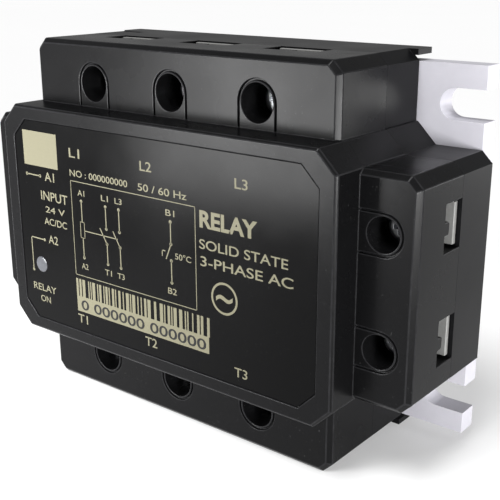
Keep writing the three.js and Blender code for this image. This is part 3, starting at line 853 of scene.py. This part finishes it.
tinned = plated_metal(
    "tinned_conductor", (0.4, 0.4, 0.39, 1), (0.3, 0.3, 0.29, 1), 0.4, 900.0, metallic=0.6)
plated = plated_metal(
    "plated_steel", (0.66, 0.67, 0.69, 1), (0.44, 0.45, 0.47, 1), 0.28, 1100.0)
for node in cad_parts:
    if node.startswith(("busbar_", "terminal_bar_")):
        name = node.replace("busbar", "bar_of").replace("terminal_bar", "bar_of")
        bar = merged_copy(node, name)
        soften(bar, bar_edge)
        dress(bar, tinned, "root", "tinned_conductor", node)
    if node.startswith("clamp_plate_"):
        plate = merged_copy(node, node.replace("clamp_plate", "wire_clamp"))
        soften(plate, clamp_edge)
        dress(plate, plated, node.replace("clamp_plate", "clamp"), "plated_steel", node)

# ---- Terminal screws -----------------------------------------------------------------------
# Plated steel pan-head screws with a cross recess, one in each bore: M4 in the load terminals
# and M3.5 in the small ones. Each turns in its clamp plate and draws it down on the bar.

head_depth = 1.8 * MM
head_round = 0.55  # of the head's depth
recess_arm = 0.58  # of the head's radius
recess_thin = 0.3  # of an arm's length
recess_depth = 0.75  # of an arm's length
recess_taper = 0.62
load_shank = 1.95 * MM
small_shank = 1.7 * MM
tip_round = 0.3 * MM
screw_edge = 0.05 * MM


def cross_recess(bm, x, z, top, arm):
    """Two crossed slots that narrow towards their floor."""
    thin = arm * recess_thin
    for reach_x, reach_z in ((arm, thin), (thin, arm)):
        made = box_between(bm, (x - reach_x, top - past, z - reach_z),
                           (x + reach_x, top + arm * recess_depth, z + reach_z))
        deep = [v for v in made if v.co.y > top]
        bmesh.ops.translate(bm, vec=(-x, 0, -z), verts=deep)
        bmesh.ops.scale(bm, vec=(recess_taper, 1, recess_taper), verts=deep)
        bmesh.ops.translate(bm, vec=(x, 0, z), verts=deep)


def make_screw(node, name, shank_radius):
    """A pan-head screw along Y in the place of a packed one."""
    low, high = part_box(node)
    middle = (low + high) / 2
    head_radius = (high.x - low.x) / 2

    def head(bm):
        made = pin_between(bm, middle.x, middle.z, low.y, low.y + head_depth, head_radius)
        bevel_edges(bm, edges_at(made, low.y), head_depth * head_round, 5)

    def shank(bm):
        inside_head = low.y + head_depth * 0.5
        made = pin_between(bm, middle.x, middle.z, inside_head, high.y, shank_radius)
        bevel_edges(bm, edges_at(made, high.y), tip_round, 2)

    def recess(bm):
        cross_recess(bm, middle.x, middle.z, low.y, head_radius * recess_arm)

    screw = solid(name, head)
    join_cut(screw, "UNION", shank)
    join_cut(screw, "DIFFERENCE", recess)
    soften(screw, screw_edge, sharper_than=40.0)
    return screw


for spot in terminals:
    node = f"screw_{spot['name']}"
    shank_radius = load_shank if spot["bore"] == load_bore else small_shank
    screw = make_screw(node, f"clamp_{node}", shank_radius)
    dress(screw, plated, node, "plated_steel", node)

# ---- Base plate ----------------------------------------------------------------------------
# A flat aluminium plate, the relay's heat path, milled on its back and blanked with an
# open-ended slot for an M5 screw near each corner. Its satin surface shows fine rolling lines.

plate_edge = 0.22 * MM
plate_pale = (0.6, 0.59, 0.64, 1)
plate_dark = (0.53, 0.52, 0.57, 1)
# Painted highlight: the lighter colour of the plate's rounded edges.
plate_edge_highlight = (0.67, 0.66, 0.71, 1)
plate_rolling = (0.06, 1.0, 1.0)
base_plate = merged_copy("base_plate", "cooling_plate")
soften(base_plate, plate_edge)
aluminium, tree, shader, vector = start_material("base_plate", metallic=0.25)
clouds = remap(tree, noise(tree, vector, 130.0, 4.0, 0.6), 0.3, 0.75, 0.0, 1.0)
edge = edge_polish_and_highlight_mask(tree, vector)
rolled = mix_colour(tree, clouds, plate_pale, plate_dark)
# Painted highlight on the rounded edges.
tree.links.new(mix_colour(tree, edge, rolled, plate_edge_highlight), shader.inputs["Base Color"])
stretch = add_node(tree, "ShaderNodeMapping")
stretch.inputs["Scale"].default_value = plate_rolling
tree.links.new(vector, stretch.inputs["Vector"])
rolling = noise(tree, stretch.outputs["Vector"], 5200.0, 3.0)
tree.links.new(remap(tree, rolling, 0.3, 0.7, 0.42, 0.58), shader.inputs["Roughness"])
tree.links.new(bump(tree, rolling, rolled_relief), shader.inputs["Normal"])
dress(base_plate, aluminium, "root", "base_plate", "base_plate")

# ---- Fixing screws -------------------------------------------------------------------------
# Four countersunk screws of plated steel come in from the back, flush with the mounting face.
# They bite into the cover, and so hold the base plate, the rear frame and the cover together.

for node in [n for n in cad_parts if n.startswith("fixing_screw_")]:
    fixing = merged_copy(node, node.replace("fixing_screw", "plate_screw"))
    soften(fixing, screw_edge, sharper_than=30.0)
    dress(fixing, plated, "root", "plated_steel", node)

# ---- Circuit board and chips ---------------------------------------------------------------
# The electronics inside: a green board with two optocouplers, varistors, a thermostat, and the
# thyristor chips on ceramic. They stay hidden in the closed housing.


def speckled(name, colour, other, scale, roughness, depth, metallic=0.0):
    """A fine two-tone surface with a slight relief, for a part of one material."""
    material, tree, shader, vector = start_material(name, metallic=metallic)
    grain = noise(tree, vector, scale, 3.0)
    tree.links.new(mix_colour(tree, grain, colour, other), shader.inputs["Base Color"])
    shine = remap(tree, grain, 0.3, 0.7, roughness - 0.06, roughness + 0.06)
    tree.links.new(shine, shader.inputs["Roughness"])
    tree.links.new(bump(tree, grain, depth), shader.inputs["Normal"])
    return material


solder_mask = speckled(
    "circuit_board", (0.012, 0.13, 0.05, 1), (0.025, 0.2, 0.08, 1), 900.0, 0.4, 0.01 * MM)
fired_white = speckled(
    "ceramic", (0.8, 0.79, 0.74, 1), (0.88, 0.87, 0.83, 1), 3000.0, 0.55, 0.006 * MM)
chip_metal = speckled(
    "silicon", (0.3, 0.32, 0.36, 1), (0.2, 0.22, 0.26, 1), 1500.0, 0.25, 0.002 * MM,
    metallic=1.0)
blue_epoxy = speckled(
    "varistor_coat", (0.02, 0.07, 0.3, 1), (0.04, 0.12, 0.42, 1), 1200.0, 0.35, 0.02 * MM)
moulded_black = speckled(
    "black_moulding", (0.014, 0.014, 0.015, 1), (0.024, 0.024, 0.026, 1), 3500.0, 0.5,
    0.008 * MM)
inner_parts = (
    ("control_board", solder_mask), ("ceramic_", fired_white), ("thyristor_", chip_metal),
    ("varistor_", blue_epoxy), ("optocoupler_", moulded_black), ("thermostat", moulded_black),
)
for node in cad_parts:
    for start, material in inner_parts:
        if node.startswith(start):
            paint_node(node, material)

# ---- Floor and light -----------------------------------------------------------------------
# A plain pale floor that glows a little, a broad sun overhead and a little to the front, three
# gridded softboxes low round the relay that draw its faces and bevels, and a bright backdrop.

floor_size = 4.0
floor_gap = 0.02 * MM
floor_grey = (0.6, 0.6, 0.6, 1)
floor_pale = (0.62, 0.62, 0.62, 1)
floor_glow = 0.28
grid_spread = math.radians(95)
sun_strength = 2.9
sun_width = math.radians(25)
sun_lean = math.radians(28)
backdrop_light = 0.35
backdrop_seen = 0.95

floor_mesh = bpy.data.meshes.new("floor")
bm = bmesh.new()
bmesh.ops.create_grid(bm, x_segments=1, y_segments=1, size=floor_size)
bmesh.ops.translate(bm, vec=(0, 0, cad_box[0].z - floor_gap), verts=bm.verts[:])
bm.to_mesh(floor_mesh)
bm.free()
floor = bpy.data.objects.new("floor", floor_mesh)
scene.collection.objects.link(floor)
pale_floor, tree, shader, vector = start_material("pale_floor", roughness=0.8)
paper = mix_colour(tree, noise(tree, vector, 3.0), floor_grey, floor_pale)
tree.links.new(paper, shader.inputs["Base Color"])
shader.inputs["Emission Color"].default_value = (1, 1, 1, 1)
shader.inputs["Emission Strength"].default_value = floor_glow
floor_mesh.materials.append(pale_floor)


def soft_light(name, place, target, width, height, power):
    """A softbox with a grid in front, which keeps its light off the floor beside it."""
    data = bpy.data.lights.new(name, "AREA")
    data.spread = grid_spread
    data.shape = "RECTANGLE"
    data.size = width
    data.size_y = height
    data.energy = power
    light = bpy.data.objects.new(name, data)
    light.location = place
    light.rotation_euler = (Vector(target) - Vector(place)).to_track_quat("-Z", "Y").to_euler()
    scene.collection.objects.link(light)


# Each row is the light's name, its place, what it points at, its width, height and watts.
softboxes = [
    ("front_left_panel", (-0.07, -0.1535, 0.008), (-0.036, -0.008, 0.008), 0.078, 0.064, 0.19),
    ("right_panel", (0.217, -0.131, -0.006), (0.045, -0.03, -0.006), 0.048, 0.048, 0.17),
    ("back_right_panel", (0.2, 0.24, 0.0), (0.036, -0.02, 0.0), 0.12, 0.07, 0.03),
]
for softbox in softboxes:
    soft_light(*softbox)
overhead = bpy.data.lights.new("overhead", "SUN")
overhead.energy = sun_strength
overhead.angle = sun_width
overhead_lamp = bpy.data.objects.new("overhead", overhead)
overhead_lamp.rotation_euler = (sun_lean, 0, 0)
scene.collection.objects.link(overhead_lamp)
world = bpy.data.worlds.new("surround")
scene.world = world
world.use_nodes = True
backdrop = world.node_tree.nodes["Background"]
backdrop.inputs["Color"].default_value = (1, 1, 1, 1)
path = add_node(world.node_tree, "ShaderNodeLightPath")
strength = remap(
    world.node_tree, path.outputs["Is Camera Ray"], 0.0, 1.0, backdrop_light, backdrop_seen)
world.node_tree.links.new(strength, backdrop.inputs["Strength"])
scene.view_settings.view_transform = "Standard"
